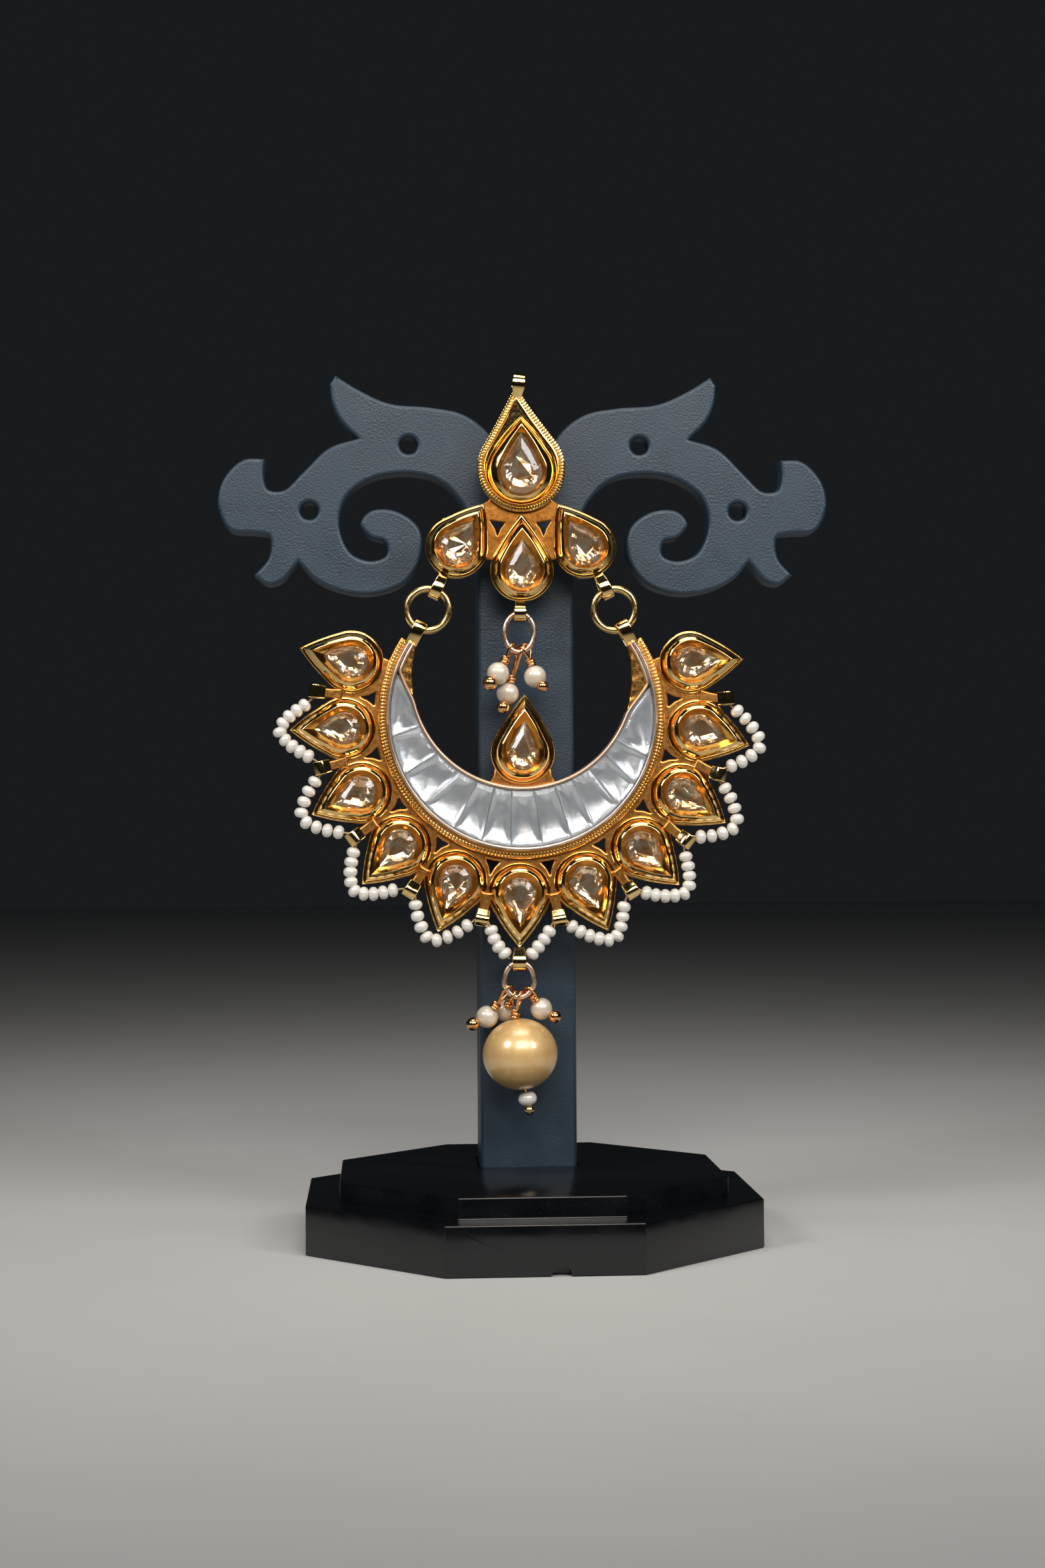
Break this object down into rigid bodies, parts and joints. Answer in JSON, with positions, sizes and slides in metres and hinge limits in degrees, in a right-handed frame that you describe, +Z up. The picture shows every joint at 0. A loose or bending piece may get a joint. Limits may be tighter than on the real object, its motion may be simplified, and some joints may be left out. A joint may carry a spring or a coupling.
{
  "type": "chandbali earring on display stand",
  "caption": "Crescent drop earring with pear stones, bead strings and a pearl, hung by its post on a plain black display stand.",
  "frame": {"origin": "centre of the display stand's base on the surface it rests on", "axes": "+Z up along the stand's stem; -Y towards the viewer, the side on which the earring hangs; +X to the viewer's right"},
  "size_m": [0.0834, 0.0596, 0.1166],
  "materials": {
    "bright_gold_plate": "cast and hand-raised brass, bright yellow gold plate, polished on the bezels and satin on the webs",
    "ring_gold_plate": "drawn brass wire, yellow gold plate",
    "rose_gold_wire": "drawn copper-coloured wire, rose gold plate",
    "champagne_glass": "faceted pear glass stones over gold foil",
    "clear_glass": "flat-cut clear glass kundan stones over silver foil",
    "champagne_pearl": "imitation pearl with a satin champagne lustre",
    "cream_pearl": "small imitation pearls and gold balls on rose gold headpins",
    "seed_bead": "off-white opaque seed beads with a soft lustre, on thread",
    "slate_plastic": "moulded slate-black plastic with a fine pebbled skin",
    "black_plastic": "moulded black plastic, glossy, lightly dusty"
  },
  "bodies": {
    "root": {"stand_base": "black_plastic", "stand_tree": "slate_plastic", "stud_frame": "bright_gold_plate", "stud_stone_top": "champagne_glass", "stud_stone_left": "champagne_glass", "stud_stone_right": "champagne_glass", "stud_stone_middle": "champagne_glass", "middle_ring": "rose_gold_wire", "upper_charm_left": "cream_pearl", "upper_charm_middle": "cream_pearl", "upper_charm_right": "cream_pearl"},
    "drop": {"jump_ring_left": "ring_gold_plate", "jump_ring_right": "ring_gold_plate", "crescent_frame": "bright_gold_plate", "channel_stone_01": "clear_glass", "channel_stone_02": "clear_glass", "channel_stone_03": "clear_glass", "channel_stone_04": "clear_glass", "channel_stone_05": "clear_glass", "channel_stone_06": "clear_glass", "channel_stone_07": "clear_glass", "channel_stone_08": "clear_glass", "channel_stone_09": "clear_glass", "channel_stone_10": "clear_glass", "channel_stone_11": "clear_glass", "channel_stone_12": "clear_glass", "channel_stone_13": "clear_glass", "petal_stone_01": "champagne_glass", "petal_stone_02": "champagne_glass", "petal_stone_03": "champagne_glass", "petal_stone_04": "champagne_glass", "petal_stone_05": "champagne_glass", "petal_stone_06": "champagne_glass", "petal_stone_07": "champagne_glass", "petal_stone_08": "champagne_glass", "petal_stone_09": "champagne_glass", "petal_stone_10": "champagne_glass", "petal_stone_11": "champagne_glass", "inner_stone": "champagne_glass", "bead_string_02": "seed_bead", "bead_string_03": "seed_bead", "bead_string_04": "seed_bead", "bead_string_05": "seed_bead", "bead_string_06_left": "seed_bead", "bead_string_06_right": "seed_bead", "bead_string_07": "seed_bead", "bead_string_08": "seed_bead", "bead_string_09": "seed_bead", "bead_string_10": "seed_bead", "lower_ring": "rose_gold_wire", "big_pearl": "champagne_pearl", "big_pearl_pin": "rose_gold_wire", "lower_charm_left": "cream_pearl", "lower_charm_behind": "cream_pearl", "lower_charm_right": "cream_pearl"}
  },
  "joints": [
    {"name": "crescent_swing", "type": "hinge", "parent": "root", "child": "drop", "pos_m": [-0.0009, -0.004, 0.08666], "axis": [-1, 0, 0], "range_deg": [0, 55]}
  ]
}
